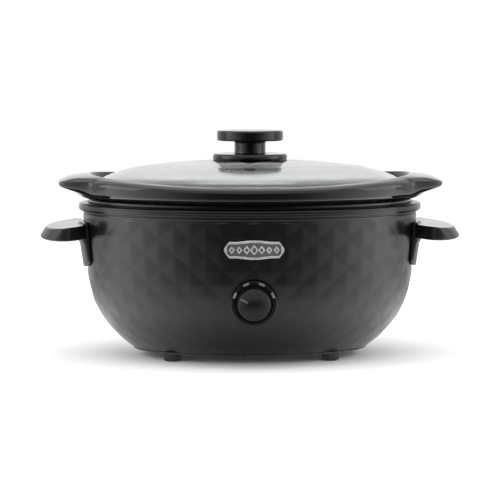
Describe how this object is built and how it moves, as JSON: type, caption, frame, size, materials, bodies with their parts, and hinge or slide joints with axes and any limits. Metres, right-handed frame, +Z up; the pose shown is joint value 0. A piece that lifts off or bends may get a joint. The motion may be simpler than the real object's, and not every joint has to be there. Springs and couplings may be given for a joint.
{
  "type": "slow cooker",
  "caption": "Oval countertop slow cooker: diamond-faceted heating base with side grips and a rotary dial, lift-out glazed stoneware crock and domed glass lid with a spool knob.",
  "frame": {"origin": "centre of the oval on the surface the feet stand on", "axes": "+X along the long axis to the right as seen from the front, -Y towards the front with the dial, +Z up"},
  "size_m": [0.43, 0.264, 0.231],
  "materials": {
    "enamel": "gloss black enamelled steel, pressed in diamond facets",
    "trim": "gloss black rolled steel",
    "liner": "satin drawn sheet",
    "heater": "dull band with foil face",
    "steel": "zinc-plated fasteners",
    "base": "satin black sheet",
    "foot_rubber": "matt moulded rubber",
    "handle": "satin black phenolic",
    "badge": "brushed pewter plaque",
    "bezel": "gloss black moulding",
    "mark": "grey printed marks",
    "dial": "gloss black moulding",
    "pointer": "dark grey inlay",
    "switch_body": "cream moulding",
    "bushing": "moulded bushing",
    "ceramic": "glazed steatite terminal block",
    "wire": "glass-braid sleeving",
    "stoneware": "gloss black glazed stoneware",
    "lid_glass": "clear tempered glass",
    "knob": "satin to gloss black phenolic",
    "washer": "silicone washer"
  },
  "bodies": {
    "base_unit": {"housing": "enamel", "trim_ring": "trim", "inner_liner": "liner", "heater_band": "heater", "heater_clamp": "steel", "base_cover": "base", "base_stud": "steel", "base_nut": "steel", "foot_front_left": "foot_rubber", "foot_front_right": "foot_rubber", "foot_rear_left": "foot_rubber", "foot_rear_right": "foot_rubber", "foot_screws": "steel", "handle_left": "handle", "handle_right": "handle", "handle_screws": "steel", "badge": "badge", "dial_bezel": "bezel", "dial_marks": "mark", "rotary_switch": "switch_body", "switch_nut": "steel", "cord_bushing": "bushing", "terminal_block": "ceramic", "thermal_fuse": "steel", "lead_wires": "wire"},
    "crock": {"crock": "stoneware"},
    "lid": {"lid_glass": "lid_glass", "knob_skirt": "knob", "lid_knob": "knob", "lid_washer": "washer", "lid_screw": "steel"},
    "control_dial": {"dial_knob": "dial", "dial_pointer": "pointer", "switch_shaft": "steel"}
  },
  "joints": [
    {"name": "crock_lift", "type": "slide", "parent": "base_unit", "child": "crock", "axis": [0, 0, 1], "range_m": [0, 0.2]},
    {"name": "lid_lift", "type": "slide", "parent": "crock", "child": "lid", "axis": [0, 0, 1], "range_m": [0, 0.12]},
    {"name": "dial_turn", "type": "hinge", "parent": "base_unit", "child": "control_dial", "pos_m": [0, -0.1156, 0.0665], "axis": [0, 1, 0], "range_deg": [0, 132]}
  ]
}
